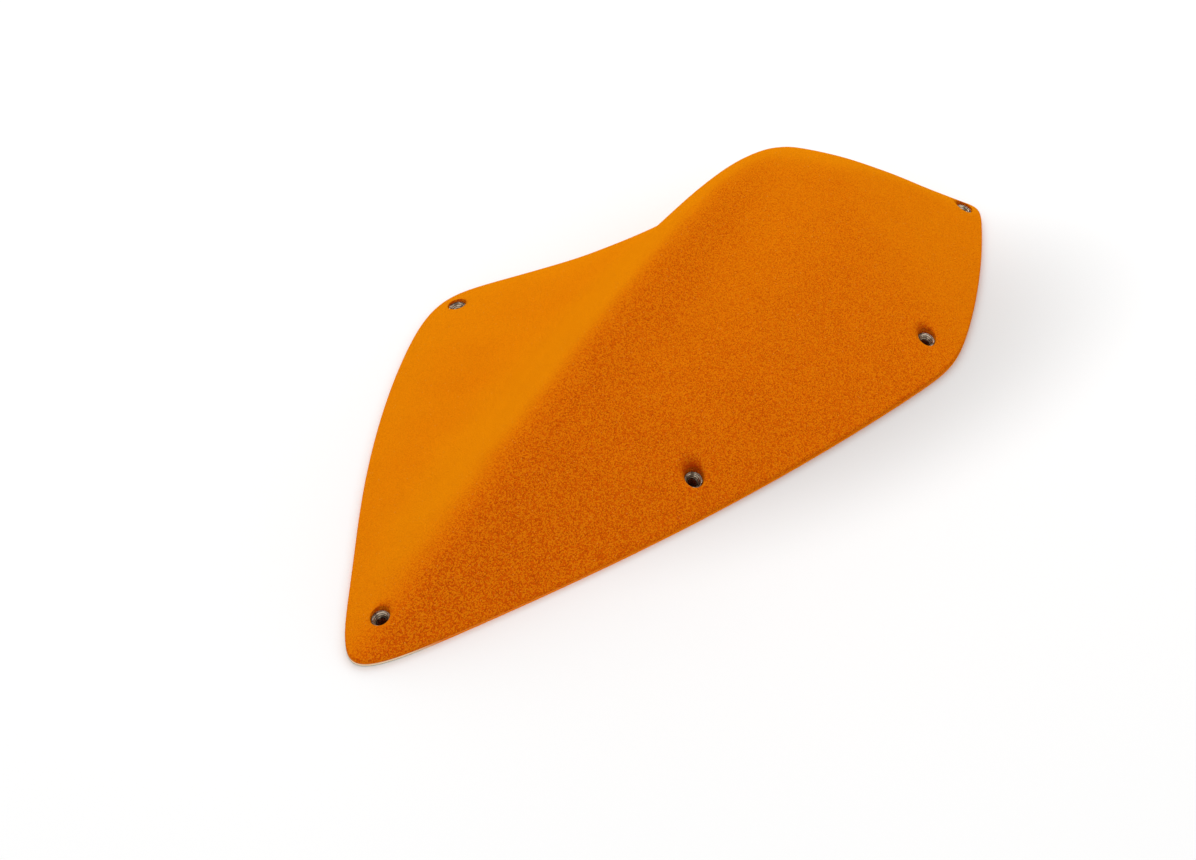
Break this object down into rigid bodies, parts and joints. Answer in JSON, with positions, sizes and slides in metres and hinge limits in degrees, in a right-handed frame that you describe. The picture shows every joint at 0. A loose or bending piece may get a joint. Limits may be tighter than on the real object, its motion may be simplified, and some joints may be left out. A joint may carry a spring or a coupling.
{
  "type": "macro climbing hold",
  "caption": "Large hollow climbing hold with a long crested point, a broad swollen deck and recessed steel-lined screw holes, fastened flat to a wall.",
  "frame": {"origin": "middle of the outline's box on the wall plane", "axes": "+X along the long front edge, from the tip to the blunt end; +Y across the hold, towards its back; +Z out of the wall"},
  "size_m": [0.683, 0.3104, 0.1212],
  "materials": {
    "orange_grit": "gritty sprayed orange gelcoat",
    "laminate": "bare glassfibre laminate",
    "edge_resin": "ground pale resin edge",
    "boss_resin": "cast filled resin",
    "insert_steel": "bright turned steel"
  },
  "bodies": {
    "root": {"textured_gelcoat": "orange_grit", "glassfibre_laminate": "laminate", "wall_rim": "edge_resin", "screw_boss_tip": "boss_resin", "screw_boss_front": "boss_resin", "screw_boss_right": "boss_resin", "screw_boss_back_right": "boss_resin", "screw_boss_back": "boss_resin", "screw_boss_left": "boss_resin", "screw_insert_tip": "insert_steel", "screw_insert_front": "insert_steel", "screw_insert_right": "insert_steel", "screw_insert_back_right": "insert_steel", "screw_insert_back": "insert_steel", "screw_insert_left": "insert_steel"}
  },
  "joints": []
}
